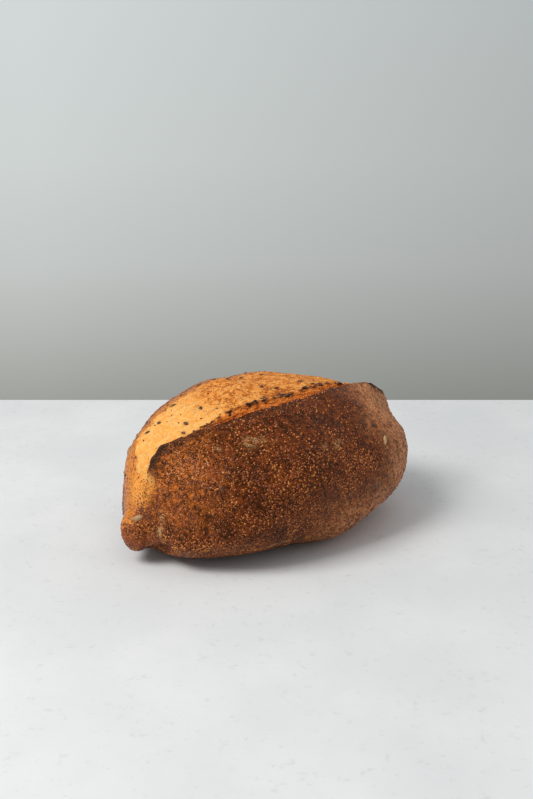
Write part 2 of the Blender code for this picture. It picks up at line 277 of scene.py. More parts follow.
# Seeds, blisters and crumbs, as two colours, the grain's scale, its roughness and its height
GRAINS = {
    "seed_pale": ((0.27, 0.14, 0.06), (0.48, 0.31, 0.15), 500.0, (0.40, 0.60), 0.0002),
    "seed_brown": ((0.17, 0.055, 0.016), (0.060, 0.020, 0.009), 500.0, (0.32, 0.50), 0.0002),
    "seed_dark": ((0.110, 0.031, 0.011), (0.030, 0.012, 0.007), 500.0, (0.30, 0.50), 0.0002),
    "blister_gold": ((0.300, 0.072, 0.012), (0.640, 0.230, 0.048), 520.0, (0.12, 0.28), 0.0001),
    "blister_brown": ((0.100, 0.018, 0.004), (0.300, 0.070, 0.013), 520.0, (0.12, 0.30), 0.0001),
    # Painted glints: pale glossy specks that stand in for highlights
    "blister_painted_glint": ((0.340, 0.130, 0.055), (0.600, 0.320, 0.190), 520.0, (0.12, 0.28), 0.0001),
    "charred": ((0.050, 0.013, 0.006), (0.014, 0.006, 0.004), 600.0, (0.35, 0.60), 0.0003),
    "specks": ((0.090, 0.026, 0.010), (0.020, 0.009, 0.006), 300.0, (0.40, 0.60), 0.0002),
}

# Table top and studio
TABLE_LIGHT = (0.705, 0.712, 0.705)
TABLE_SHADE = (0.640, 0.655, 0.652)
TABLE_FLECK = (0.50, 0.48, 0.47)
# Backdrop colours with painted shade: darker towards the table, and dimmer to the right
WALL_HEIGHTS = (-0.32, 0.10)
WALL_COLOURS = (
    (0.0, (0.290, 0.295, 0.272)), (0.17, (0.412, 0.425, 0.405)), (0.31, (0.500, 0.522, 0.512)),
    (0.52, (0.560, 0.594, 0.583)), (1.0, (0.600, 0.642, 0.642)),
)
WALL_SIDE_SHADE = {"From Min": -0.20, "From Max": 0.22, "To Min": 1.10, "To Max": 0.79}
FILL_COLOUR = (0.97, 1.0, 1.03, 1.0)
FILL_STRENGTH = (0.30, 0.62)
# Area lights, as degrees round, degrees up, distance, size, power and colour
LIGHTS = {
    "key": (-120.0, 50.0, 1.9, 0.9, 29.0, (1.0, 0.985, 0.965)),
    "fill": (75.0, 24.0, 1.6, 1.2, 1.9, (1.0, 1.0, 1.0)),
}


# Shared curves
def ease(value):
    """A smooth step from 0 to 1."""
    value = np.clip(value, 0.0, 1.0)
    return value * value * (3.0 - 2.0 * value)


def bump_at(value, centre, reach):
    """A smooth bump of height 1."""
    return np.exp(-(((value - centre) / reach) ** 2))


def blended_max(first, second, blend):
    """The larger of two lengths, with a rounded corner where they cross."""
    return 0.5 * (first + second + np.sqrt((first - second) ** 2 + blend**2))


def round_off(reach, powers):
    """How a profile falls from 1 to 0 as reach goes from 0 to 1."""
    return np.clip(1.0 - reach ** powers[0], 0.0, 1.0) ** (1.0 / powers[1])


def lumps(along, angle):
    """Low waves over the crust, from a fixed rule."""
    rule = np.random.default_rng(LUMP_SEED)
    total = np.zeros_like(angle)
    for _ in range(LUMP_COUNT):
        waves = rule.uniform(1.0, 4.5) * math.tau / LENGTH
        turns = rule.integers(0, 6)
        shift, turn = rule.uniform(0.0, math.tau, 2)
        total += np.sin(waves * along + shift) * np.cos(turns * angle + turn)
    return LUMP_HEIGHT * total * ease((LENGTH / 2.0 - np.abs(along)) / 0.020)


def swellings(along, angle):
    """The broad swellings and hollows, which fade out at the two tips."""
    total = np.zeros_like(angle)
    for station, degrees, height, reach_along, reach_round in SWELLINGS:
        turn = np.mod(angle - math.radians(degrees) + math.pi, math.tau) - math.pi
        away = ((along - station) / reach_along) ** 2 + (turn / math.radians(reach_round)) ** 2
        total += height * np.exp(-away)
    return total * ease((LENGTH / 2.0 - np.abs(along)) / 0.006)


# Body
def section(along):
    """Centre (across, up) and reaches (dark side, bloom side, up, down) of the section at this station."""
    far_end = LENGTH / 2.0
    near = along < WIDEST_AT
    near_reach = np.clip((WIDEST_AT - along) / (WIDEST_AT - BODY_STARTS), 0.0, 1.0)
    base_reach = np.clip((WIDEST_AT - along) / (WIDEST_AT - BASE_STARTS), 0.0, 1.0)
    far_reach = np.clip((along - WIDEST_AT) / (far_end - WIDEST_AT), 0.0, 1.0)
    plan = np.where(near, round_off(near_reach, NEAR_PLAN), round_off(far_reach, FAR_PLAN))
    top = np.where(near, round_off(near_reach, NEAR_TOP), round_off(far_reach, FAR_TOP))
    under = np.where(near, round_off(base_reach, NEAR_UNDER), round_off(far_reach, FAR_UNDER))

    knob_reach = np.clip((along + far_end) / KNOB_LENGTH, 0.0, 1.0)
    knob = np.sqrt(np.clip(1.0 - (1.0 - knob_reach) ** 2, 0.0, 1.0)) * np.sqrt(1.0 - far_reach**6)
    blend = BLEND * knob
    drop = ease((near_reach - 0.35) / 0.65)
    centre_up = CENTRE_HEIGHT + (FAR_CENTRE_HEIGHT - CENTRE_HEIGHT) * ease(far_reach)
    centre_up = centre_up + (KNOB_HEIGHT - CENTRE_HEIGHT) * drop
    centre_across = KNOB_SIDE * drop

    knob = KNOB_RADIUS * knob
    up = blended_max((HEIGHT - centre_up) * top, knob, blend)
    down = blended_max((centre_up + BASE_SINK) * under, knob, blend)
    dark = blended_max(DARK_HALF_WIDTH * plan, knob, blend)
    pale = blended_max(BLOOM_HALF_WIDTH * plan, knob, blend)
    return centre_across, centre_up, dark, pale, up, down


def body(along, angle):
    """Points of the plain body. The angle runs from the base round the dark side to the crown and back."""
    centre_across, centre_up, dark, pale, up, down = section(along)
    side, rise = np.sin(angle), np.cos(angle)
    reach = np.where(side > 0.0, dark, pale)
    bulge = np.sign(side) * np.abs(side) ** (2.0 / SIDE_POWER)
    across = centre_across - reach * bulge
    below = centre_up - down * np.abs(rise) ** (2.0 / UNDER_POWER)
    above = centre_up + up * np.abs(rise) ** (2.0 / TOP_POWER)
    height = np.maximum(np.where(rise > 0.0, below, above), 0.0)
    low = np.clip(1.0 - height / 0.060, 0.0, 1.0)
    across = across - TUCK_DEPTH * ease((-0.060 - along) / 0.050) * low * np.maximum(-bulge, 0.0)
    return np.stack([along, across, height], axis=-1)


def stations(share):
    """Turns a share of the way from the knob to the far end into a station, evenly along the surface."""
    along = -np.cos(np.linspace(0.0, math.pi, 4001)) * LENGTH / 2.0
    _, centre_up, dark, _, up, _ = section(along)
    steps = np.sqrt(np.diff(along) ** 2 + np.diff(dark) ** 2 + np.diff(centre_up + up) ** 2)
    path = np.concatenate([[0.0], np.cumsum(steps)])
    return np.interp(share, path / path[-1], along)


# Slash
def slash_lines(along):
    """Angles of the ear, of the torn band's ridge and of the bloom's back edge, and the arc radius."""
    centre_across, _, dark, pale, up, _ = section(along)
    ear_along, offsets = np.array(EAR_LINE).T
    line = np.polyfit(ear_along, offsets, 4)
    ear_across = np.polyval(line, np.clip(along, ear_along[0], ear_along[-1])) - centre_across
    ear_across = ear_across + EAR_SWING[1] * bump_at(along, EAR_SWING[0], EAR_SWING[2])
    reach = np.maximum(np.where(ear_across < 0.0, dark, pale), 1e-6)
    share = np.clip(ear_across / reach, -0.97, 0.97)
    ear = math.pi + np.arcsin(np.sign(share) * np.abs(share) ** (SIDE_POWER / 2.0))
    radius = np.maximum(0.5 * (dark + 0.8 * up), 0.006)
    torn = TORN_NEAR + (TORN_MIDDLE - TORN_NEAR) * ease((along + 0.075) / 0.035)
    torn = torn + (TORN_FAR - TORN_MIDDLE) * ease((along - 0.030) / 0.070)
    ridge = ear + torn / radius
    run = np.clip((along - SLASH_NEAR) / (SLASH_FAR - SLASH_NEAR), 0.0, 1.0)
    back = ridge + math.radians(12) + BLOOM_ARC * np.sin(math.pi * run) ** 0.7
    return ear, ridge, back, radius


def around(along, share):
    """Turns a share of the way round the mesh into an angle, with columns lying on the slash's lines."""
    ear, ridge, back, _ = slash_lines(along)
    ends = np.cumsum((0,) + COLUMNS) / sum(COLUMNS)
    angles = np.stack([np.zeros_like(ear), ear, ridge, back, np.full_like(ear, math.tau)])
    zone = np.clip(np.searchsorted(ends, share + 1e-6, side="right") - 1, 0, 3)
    within = (share - ends[zone]) / (ends[zone + 1] - ends[zone])
    rows = np.arange(len(along))
    angle = angles[zone, rows] * (1.0 - within) + angles[zone + 1, rows] * within
    return angle, zone, within


def outward(along, angle):
    """Unit normal and unit tangent (towards the bloom) of the plain body."""
    step, stride = 1e-3, 5e-5
    inner = np.clip(along, -LENGTH / 2.0 + 2e-4, LENGTH / 2.0 - 2e-4)
    round_way = body(along, angle + step) - body(along, angle - step)
    long_way = body(inner + stride, angle) - body(inner - stride, angle)
    normal = np.cross(long_way, round_way)
    normal /= np.linalg.norm(normal, axis=-1, keepdims=True) + 1e-12
    tangent = round_way / (np.linalg.norm(round_way, axis=-1, keepdims=True) + 1e-12)
    return normal, tangent


def slash_relief(along, angle, zone, within):
    """How far the slash lifts the surface, and how far it pushes it towards the bloom."""
    ear, ridge, back, radius = slash_lines(along)
    fade = ease((along - SLASH_NEAR) / 0.010) * ease((SLASH_FAR - along) / 0.006)
    lip = LIP_MIDDLE + (LIP_NEAR - LIP_MIDDLE) * ease((-0.045 - along) / 0.040)
    lip = fade * (lip + (LIP_FAR - LIP_MIDDLE) * ease((along - 0.045) / 0.055))
    depth = fade * TROUGH_DEPTH
    from_ear = (angle - ear) * radius
    from_ridge = (angle - ridge) * radius
    stops = (0.0, 0.125, 0.25, 0.375, 0.625, 1.0)
    lift_in_tear = lip * np.interp(within, stops, (1.0, 0.9, 0.3, 0.0, 0.0, 0.0))
    lift_in_tear += depth * np.interp(within, stops, (0.0, 0.0, -0.45, -1.0, -0.5, 0.15))
    push_in_tear = fade * np.interp(within, stops, (0.0015, 0.0017, -0.0006, -0.0020, 0.0, 0.0))
    lift_on_dark = lip * bump_at(from_ear, 0.0, LIP_SPREAD)
    push_on_dark = 0.0015 * fade * bump_at(from_ear, 0.0, 0.005)
    lift_on_bloom = 0.15 * depth * bump_at(from_ridge, 0.0, 0.003)
    dip = ease((along - 0.020) / 0.050) * ease(from_ridge / 0.012) * ease((back - angle) * radius / 0.030)
    lift_on_bloom -= BLOOM_DIP * dip
    kinds = [zone == 0, zone == 1, zone == 2]
    lift = np.select(kinds, [lift_on_dark, lift_in_tear, lift_on_bloom], 0.0)
    push = np.select(kinds[:2], [push_on_dark, push_in_tear], 0.0)
    return lift, push


def crease(along, angle):
    """The fold that sets the knob off from the dark side: deep at the table, a shallow seam above."""
    low = CREASE_DEPTH * bump_at(angle, *CREASE_ROUND)
    seam = SEAM_DEPTH * bump_at(angle, *SEAM_ROUND)
    degrees, spots = np.array(CREASE_LINE).T
    middle = np.interp(angle, np.radians(degrees), spots)
    return (low + seam) * bump_at(along, middle, CREASE_WIDTH)


def crust_point(along, angle, zone, within):
    """Points of the finished crust and their normals."""
    point = body(along, angle)
    normal, tangent = outward(along, angle)
    lift, push = slash_relief(along, angle, zone, within)
    off_base = np.clip(point[:, 2] / 0.012, 0.0, 1.0)
    lift = lift + lumps(along, angle) * off_base + swellings(along, angle) - crease(along, angle)
    point = point + normal * lift[:, None] + tangent * push[:, None]
    point[:, 2] = np.maximum(point[:, 2], 0.0)
    return point, normal


# Noise
def value_noise(points, size, seed):
    """Smooth noise from 0 to 1 whose features are about this size."""
    spread = points / size + seed * 17.31
    cell = np.floor(spread).astype(np.int64)
    part = spread - cell
    part = part * part * (3.0 - 2.0 * part)
    total = np.zeros(len(points))
    for corner in range(8):
        step = np.array([corner & 1, corner >> 1 & 1, corner >> 2 & 1])
        at = cell + step
        mixed = (at[:, 0] * 73856093) ^ (at[:, 1] * 19349663) ^ (at[:, 2] * 83492791) ^ (seed * 2654435761)
        mixed = (mixed ^ (mixed >> 13)) * 1274126177 & 0xFFFFFFFF
        mixed = (mixed ^ (mixed >> 16)) & 0xFFFF
        weight = np.prod(np.where(step == 1, part, 1.0 - part), axis=1)
        total += weight * mixed / 65535.0
    return total


def layered_noise(points, kind):
    """Noise from -0.5 to 0.5 with finer layers on top."""
    size, seed = kind
    total = np.zeros(len(points))
    weight, whole = 1.0, 0.0
    for layer in range(NOISE_LAYERS):
        total += weight * value_noise(points, size / 2.0**layer, seed + layer)
        whole += weight
        weight *= 0.5
    return total / whole - 0.5


# Mesh helpers
def surface(mesh):
    """The mesh's points and their normals."""
    both = []
    for key in ("co", "normal"):
        flat = np.empty(len(mesh.vertices) * 3)
        mesh.vertices.foreach_get(key, flat)
        both.append(flat.reshape(-1, 3))
    return both


def set_positions(mesh, points):
    mesh.vertices.foreach_set("co", points.ravel())
    mesh.update()


def mesh_from(name, batch):
    """Turns a finished batch into a mesh."""
    mesh = bpy.data.meshes.new(name)
    batch.to_mesh(mesh)
    batch.free()
    return mesh


def new_object(name, data):
    thing = bpy.data.objects.new(name, data)
    bpy.context.scene.collection.objects.link(thing)
    return thing


def new_piece(name, mesh, material):
    """An object that rides on the loaf's body."""
    piece = new_object(name, mesh)
    mesh.materials.append(material)
    mesh.shade_smooth()
    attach(piece, "root")
    return piece


def store_masks(mesh, name, channels):
    """Four masks, each from 0 to 1, kept on the mesh's points."""
    layer = mesh.color_attributes.new(name, "FLOAT_COLOR", "POINT")
    values = np.stack(channels, axis=-1).astype(np.float32)
    layer.data.foreach_set("color", np.clip(values, 0.0, 1.0).ravel())


# Masks over the crust
def grows(value, span):
    """Rises from 0 at the span's first number to 1 a span's length further on."""
    where, length = span
    return ease((value - where) / length)


def fades(value, span):
    """Falls to 0 at the span's first number, from 1 a span's length before it."""
    where, length = span
    return ease((where - value) / length)


def distance(points, centre):
    return np.linalg.norm(points - np.array(centre), axis=1)


def crust_facts(points, along, angle, zone, within):
    """Masks over the crust, each from 0 to 1, that its relief and its colours share."""
    ear, ridge, _, radius = slash_lines(along)
    from_ear = (angle - ear) * radius
    from_ridge = (angle - ridge) * radius
    wander, speckle, patch = [layered_noise(points, kind) for kind in (WANDER, SPECKLE, PATCH)]
    past_lip = np.where(zone == 0, 0.0, np.where(zone == 1, grows(within, (0.15, 0.12)), 1.0))
    facts = place_facts(points, along, wander, patch)
    facts.update(bloom_masks(along, angle, zone, radius, from_ear, past_lip, wander, speckle))
    facts.update(slash_facts(along, zone, from_ear, from_ridge, past_lip, wander, speckle))
    facts["seam"] = seam_mask(along, angle, wander)
    facts["dust"] = flour_mask(points, along, angle, wander, speckle)
    return facts


def place_facts(points, along, wander, patch):
    """Shades that belong to a part of the loaf: warmer near the knob and partly painted light there, a
    painted light on the knob's end, matt at the far end, and tan at the far end and low side, lightened
    there as painted light.
    """
    height = points[:, 2]
    # Warmer crust near the knob, partly painted light from the left
    from_warm_and_lit = distance(points, WARM_AND_LIT_CENTRE) - 0.034 * patch
    warm_and_lit = fades(from_warm_and_lit, WARM_AND_LIT_REACH) * grows(height + 0.02 * patch, (0.028, 0.022))
    # Painted light: a bright patch on the knob's end
    from_painted_light = distance(points, PAINTED_LIGHT_CENTRE) + 0.012 * wander
    matt = grows(along + 0.07 * patch, MATT_STARTS)
    end = grows(along + 0.05 * patch, END_STARTS)
    # Painted bounce light: the lower side from here on is lightened with the far end's tan
    painted_bounce = grows(along + 0.05 * patch, PAINTED_BOUNCE_STARTS) * fades(height, (0.058, 0.040))
    return {
        "warm_and_lit": np.maximum(warm_and_lit, 0.45 * fades(along, KNOB_WARM_AND_LIT)),
        "painted_light": fades(from_painted_light, PAINTED_LIGHT_REACH),
        "matt": np.maximum(matt, 0.4 * fades(height - 0.03 * patch, (0.020, 0.012))),
        "end": np.maximum(end, 0.9 * painted_bounce),
        "bake": grows(along + 0.03 * patch, BAKE_STARTS),
    }


def bloom_masks(along, angle, zone, radius, from_ear, past_lip, wander, speckle):
    """The bloom, and the band of half-browned crust along its back edge."""
    edge_along, edge_degrees = np.array(BLOOM_EDGE).T
    from_back = (angle - np.radians(np.interp(along, edge_along, edge_degrees))) * radius
    below_lip = fades(along, BLOOM_ROUND_LIP) * fades(np.abs(from_ear + 0.003), (0.009, 0.009))
    bloom = np.maximum(past_lip, below_lip) * fades(from_back + 0.008 * (wander + speckle), (0.0025, 0.005))
    bloom = bloom * grows(along + 0.007 * wander, BLOOM_STARTS) * fades(along, BLOOM_ENDS)
    wide = 0.010 + 0.016 * fades(along, BAND_WIDENS)
    band = bump_at(from_back + 0.010 * wander, 0.004, wide) * (zone > 1)
    return {"bloom": bloom, "band": band}


def slash_facts(along, zone, from_ear, from_ridge, past_lip, wander, speckle):
    """The torn band, the lip, and the char on the lip and in the crack along the ridge."""
    tear_run = grows(along + 0.008 * wander, TEAR_STARTS) * fades(along, TEAR_ENDS)
    past_ridge = from_ridge - (0.0020 + 0.0036 * wander + 0.0060 * speckle)
    lip_run = grows(along, LIP_STARTS) * fades(along, BLOOM_ENDS)

    burn = 0.0016 + 0.0052 * fades(along, NEAR_BURN) + 0.0056 * grows(along, FAR_BURN)
    on_lip = np.where(zone == 0, ease(1.25 + (from_ear + 0.007 * speckle) / burn), 1.0 - past_lip)
    on_lip = np.where(zone > 1, 0.0, on_lip) * lip_run
    heat = 0.42 + 0.50 * fades(along, NEAR_HEAT) + 0.85 * grows(along, FAR_HEAT)
    char = on_lip * np.clip(heat + 0.9 * wander + 0.7 * speckle, 0.0, 1.0)

    crack = bump_at(past_ridge, -0.0014, 0.0017) * grows(along, CRACK_STARTS) * fades(along, CRACK_ENDS)
    crack = crack * grows(1.2 * speckle + wander, (-0.24, 0.30)) * (0.84 + 0.8 * speckle)
    return {
        "torn": past_lip * fades(past_ridge, (0.0011, 0.0022)) * tear_run,
        "char": np.maximum(char, crack * past_lip),
        "lip": bump_at(from_ear, 0.0, 0.0032) * lip_run,
    }


def seam_mask(along, angle, wander):
    """The pale seam where the fold beside the knob closed."""
    degrees, spots = np.array(CREASE_LINE).T
    off_seam = along - np.interp(angle, np.radians(degrees), spots) + 0.0015 * wander
    turn = np.degrees(angle)
    return bump_at(off_seam, 0.0, SEAM_WIDTH) * grows(turn, SEAM_STARTS) * fades(turn, SEAM_ENDS)


def flour_mask(points, along, angle, wander, speckle):
    """Broken patches of flour, and a broken line of it round the foot of the loaf."""
    broken = grows(speckle, (-0.05, 0.12)) * grows(wander, (-0.05, 0.15))
    dust = 0.7 * fades(points[:, 2], (0.007, 0.004)) * broken
    for station, degrees, reach_along, reach_round in FLOUR:
        far = np.hypot((along - station) / reach_along, (np.degrees(angle) - degrees) / reach_round)
        spot = ease(1.25 - far + 1.1 * wander) * grows(speckle, (-0.06, 0.16))
        dust = np.maximum(dust, 0.75 * spot)
    return dust


# Crust mesh
def fine_relief(points, facts):
    """Height of the small forms over the solid's own: waves, strands in the tear, a ragged lip."""
    ragged, coarse, flakes = [layered_noise(points, kind) for kind in (RAGGED, COARSE, FLAKES)]
    strands = layered_noise(points * np.array(STRAND_DRAW), STRANDS)
    dark = DARK_WAVES * (ragged + 1.3 * coarse)
    bloom = BLOOM_WAVES * (flakes * (0.35 + 0.65 * facts["bake"]) + coarse)
    tear = TEAR_STRANDS * strands + TEAR_WAVES * ragged
    height = dark * (1.0 - facts["bloom"]) + bloom * facts["bloom"]
    height = height * (1.0 - facts["torn"]) + tear * facts["torn"]
    return height + LIP_RAGS * (ragged + coarse) * facts["lip"]


def press_holes(points, normals, shift):
    """Presses the small holes into the crust, and returns them as a mask for their painted shade."""
    mask = np.zeros(len(points))
    dark_side, anywhere = np.array([0]), np.array([0.5])
    for station, degrees, reach in HOLES:
        place = np.array([station]), np.array([math.radians(degrees)])
        spot, _ = crust_point(*place, dark_side, anywhere)
        mask = np.maximum(mask, bump_at(distance(points, spot[0] + shift), 0.0, reach))
    return points - normals * (HOLE_DEPTH * mask)[:, None], mask


def seed_gap_shade(points, spots, shift):
    """Painted shade: a dark line round each seed, in the gap where the crust shrank from it."""
    mask = np.zeros(len(points))
    for place, _, _, size in spots:
        reach = 0.40 * size[0]
        mask = np.maximum(mask, 0.8 * bump_at(distance(points, np.array(place) + shift), 0.0, reach))
    return mask


def crust_grid():
    """A fine sphere with its poles along X, and where each of its points belongs on the loaf."""
    ball = bmesh.new()
    bmesh.ops.create_uvsphere(ball, u_segments=sum(COLUMNS), v_segments=RINGS, radius=1.0)
    mesh = mesh_from("crust", ball)
    sphere, _ = surface(mesh)
    along = stations(np.arccos(np.clip(-sphere[:, 2], -1.0, 1.0)) / math.pi)
    columns = sum(COLUMNS)
    share = np.mod(np.arctan2(sphere[:, 1], sphere[:, 0]) / math.tau, 1.0)
    share = np.mod(np.round(share * columns), columns) / columns
    return mesh, along, *around(along, share)


def build_crust(spots, material):
    """The loaf's surface, as fine as the relief on it."""
    mesh, along, angle, zone, within = crust_grid()
    points, _ = crust_point(along, angle, zone, within)
    shift = middle_shift(points)
    points = points + shift
    set_positions(mesh, points)
    face_out(mesh)
    facts = crust_facts(points, along, angle, zone, within)
    _, tangent = outward(along, angle)
    rags = layered_noise(points, RAGS) * (FLAP_RAGS * grows(along, FLAP_STARTS) + LIP_RAGS * 0.7)
    _, normals = surface(mesh)
    off_base = ease(points[:, 2] / 0.008)
    points = points + normals * (fine_relief(points, facts) * off_base)[:, None]
    points = points + tangent * (rags * facts["lip"])[:, None]
    points, holes = press_holes(points, normals, shift)
    points[:, 2] = np.maximum(points[:, 2], 0.0)
    set_positions(mesh, points)
    # Painted shade: the holes and the gaps round the seeds are darkened
    facts["pit_shade"] = np.maximum(holes, seed_gap_shade(points, spots, shift))
    for layer, names in MASK_LAYERS.items():
        store_masks(mesh, layer, [facts[name] for name in names])
    crust = new_piece("crust", mesh, material)
    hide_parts("loaf")
    return crust, facts, Vector(shift)


def middle_shift(points):
    """The step that centres the loaf over the origin, as the solid is."""
    low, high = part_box("loaf")
    step = (np.array(low) + np.array(high) - points.min(axis=0) - points.max(axis=0)) / 2.0
    return np.array([step[0], step[1], 0.0])


def face_out(mesh):
    """Turns every face to look outwards."""
    shell = bmesh.new()
    shell.from_mesh(mesh)
    if shell.calc_volume(signed=True) < 0.0:
        bmesh.ops.reverse_faces(shell, faces=shell.faces)
        shell.to_mesh(mesh)
        mesh.update()
    shell.free()


# Seeds at the places where they are fused into the solid
def seed_spots():
    """Where seeds lie: the marked ones first, then the back side's by a fixed rule, largest first."""
    rule = np.random.default_rng(SEED_RULE)
    spots = []
    for marked, kind in ((MARKED_KERNELS, KERNELS), (MARKED_HUSKS, HUSKS), (MARKED_SMALL, SMALL_SEEDS)):
        for along, degrees in marked:
            spots.append(spot_at(along, math.radians(degrees), kind[1:], rule))
    for count, length, width, thickness in (KERNELS, HUSKS, SMALL_SEEDS):
        wanted = len(spots) + count
        while len(spots) < wanted:
            along = rule.uniform(-0.100, 0.112)
            angle = math.radians(rule.uniform(*BACK_SIDE))
            spot = spot_at(along, angle, (length, width, thickness), rule)
            if spot[0].z > 0.012 and all((spot[0] - other[0]).length > SEED_GAP for other in spots):
                spots.append(spot)
    return spots


def spot_at(along, angle, size, rule):
    """A seed's place, its outward direction, its turn and its size."""
    ear, _, back, _ = slash_lines(np.array([along]))
    zone = np.array([0 if angle < ear[0] else 2 if angle < back[0] else 3])
    point, normal = crust_point(np.array([along]), np.array([angle]), zone, np.array([0.5]))
    turn = rule.uniform(0.0, math.pi)
    scale = rule.uniform(0.85, 1.08)
    return Vector(point[0]), Vector(normal[0]), turn, [side * scale for side in size]


def add_seed_to(batch, place, normal, turn, size, sunk):
    """Adds one pointed, flattened seed, laid flat in the crust."""
    length, width, thickness = size
    around_it, along_it = SEED_SLICES
    made = bmesh.ops.create_uvsphere(batch, u_segments=around_it, v_segments=along_it, radius=0.5)["verts"]
    for vertex in made:
        narrow = 1.0 - 0.45 * max(vertex.co.z, 0.0) / 0.5
        vertex.co.x *= thickness * narrow
        vertex.co.y *= width * narrow
        vertex.co.z *= length
    lay_flat = normal.to_track_quat("X", "Z").to_matrix().to_4x4()
    move = Matrix.Translation(place - normal * thickness * sunk)
    bmesh.ops.transform(batch, matrix=move @ lay_flat @ Matrix.Rotation(turn, 4, "X"), verts=made)


def build_seeds(spots, shift):
    """One piece for each kind of seed."""
    kernel, husk = SEED_LENGTHS
    batches = {kind: bmesh.new() for kind in ("pale", "brown", "dark")}
    for place, normal, turn, size in spots:
        kind = "pale" if size[0] > kernel else "brown" if size[0] > husk else "dark"
        add_seed_to(batches[kind], place + shift, normal, turn, size, SEED_SUNK)
    for kind, batch in batches.items():
        mesh = mesh_from(f"seeds_{kind}", batch)
        new_piece(f"seeds_{kind}", mesh, grain_material(f"seed_{kind}"))


def scatter(rule, chance, count):
    """Picks this many of the crust's points, each as likely as its chance."""
    return rule.choice(len(chance), size=count, replace=False, p=chance / chance.sum())


def build_specks(crust, facts):
    """Small dark seeds, flush with the bloom and the back crust."""
    rule = np.random.default_rng(SPECK_RULE)
    points, normals = surface(crust.data)
    chance = facts["bloom"] * (1.0 - facts["torn"]) + 0.8 * facts["band"] + 0.03
    chance *= grows(points[:, 2], (0.030, 0.020)) * grows(points[:, 1], (-0.040, 0.010))
    chance *= grows(points[:, 0], (-0.104, 0.010))
    batch = bmesh.new()
    for index in scatter(rule, chance, SPECK_COUNT):
        length = rule.uniform(0.0012, 0.0028)
        size = (length, length * 0.55, length * 0.5)
        add_seed_to(batch, Vector(points[index]), Vector(normals[index]), rule.uniform(0.0, 3.1), size, 0.2)
    new_piece("seeds_specks", mesh_from("specks", batch), grain_material("specks"))


# Blisters
def blister_chance(kind, points, facts):
    """How likely a blister is at each point: in bunches on the bare dark crust."""
    height = points[:, 2]
    bunched = layered_noise(points, (BLISTER_BUNCH, BLISTERS[kind][2]))
    chance = 0.12 + grows(bunched, (-0.16, 0.24))
    for name, weight in BARE.items():
        chance = chance * (1.0 - weight * facts[name])
    chance = chance * (1.0 + 0.8 * facts["warm_and_lit"])
    chance = chance * grows(height, (0.005, 0.010)) * (1.0 - 0.50 * grows(height, (0.074, 0.020)))
    # Painted glints stay on one patch of the shoulder near the knob, where the highlights fall
    if kind == "painted_glint":
        chance = chance * fades(distance(points, GLINT_SHOULDER), GLINT_SHOULDER_REACH)
    girth = distance(points[:, 1:], (0.0, 0.05))
    return chance * np.maximum(girth, 0.01)


def dome_faces(count):
    """Faces of this many domes, each with two rings of points and a top."""
    starts = np.arange(count) * (2 * DOME_SIDES + 1)
    upper, top = starts + DOME_SIDES, starts + 2 * DOME_SIDES
    quads, tips = [], []
    for step in range(DOME_SIDES):
        after = (step + 1) % DOME_SIDES
        quads.append(np.stack([starts + step, starts + after, upper + after, upper + step], axis=1))
        tips.append(np.stack([upper + step, upper + after, top], axis=1))
    return np.concatenate(quads).tolist() + np.concatenate(tips).tolist()


def build_blisters(kind, crust, facts, rule):
    """Small glassy domes over the dark crust; the bright kind are painted glints, pale specks that stand in
    for highlights.
    """
    count, size, _ = BLISTERS[kind]
    points, normals = surface(crust.data)
    picked = scatter(rule, blister_chance(kind, points, facts), count)
    normal = normals[picked]
    side = np.cross(normal, np.array([0.31, 0.17, 0.93]))
    side /= np.linalg.norm(side, axis=1, keepdims=True)
    other = np.cross(normal, side)
    reach = (size * rule.uniform(0.40, 1.0, count) ** 1.4)[:, None]
    jitter = rule.uniform(-0.0006, 0.0006, (count, 2))
    centre = points[picked] + side * jitter[:, :1] + other * jitter[:, 1:]
    stretch = rule.uniform(0.75, 1.15, (count, 2))
    turn = rule.uniform(0.0, 1.0, count)
    rows = []
    for out, rise in DOME_RINGS:
        for step in range(DOME_SIDES):
            way = step / DOME_SIDES * math.tau + turn
            spoke = side * (np.cos(way) * stretch[:, 0])[:, None]
            spoke = spoke + other * (np.sin(way) * stretch[:, 1])[:, None]
            rows.append(centre + spoke * reach * out + normal * reach * rise)
    rows.append(centre + normal * reach * DOME_TOP)
    mesh = bpy.data.meshes.new(f"blisters_{kind}")
    mesh.from_pydata(np.stack(rows, axis=1).reshape(-1, 3).tolist(), [], dome_faces(count))
    mesh.update()
    new_piece(f"blisters_{kind}", mesh, grain_material(f"blister_{kind}"))


# Charred crumbs
def build_crumbs(crust, facts):
    """Burnt crumbs that stand along the torn ridge."""
    rule = np.random.default_rng(CRUMB_RULE)
    points, normals = surface(crust.data)
    chance = facts["torn"] * grows(facts["char"], (0.25, 0.4)) + 0.02 * facts["torn"] + 1e-9
    batch = bmesh.new()
    for index in scatter(rule, chance, CRUMB_COUNT):
        size = rule.uniform(0.0004, 0.0013)
        made = bmesh.ops.create_icosphere(batch, subdivisions=2, radius=size)["verts"]
        spin = Matrix.Rotation(rule.uniform(-0.5, 0.5), 4, "Z")
        spin = spin @ Matrix.Rotation(rule.uniform(-0.5, 0.5), 4, "Y")
        sides = rule.uniform(1.0, 2.6), rule.uniform(0.6, 1.0), rule.uniform(0.5, 0.9)
        place = Matrix.Translation(Vector(points[index] - normals[index] * size * 0.1))
        for vertex in made:
            vertex.co *= rule.uniform(0.82, 1.18)
        bmesh.ops.transform(batch, matrix=place @ spin @ Matrix.Diagonal((*sides, 1.0)), verts=made)
    new_piece("charred_crumbs", mesh_from("charred_crumbs", batch), grain_material("charred"))


# Material helpers
def new_material(name):
    material = bpy.data.materials.new(name)
    material.use_nodes = True
    tree = material.node_tree
    return material, tree, tree.nodes["Principled BSDF"]


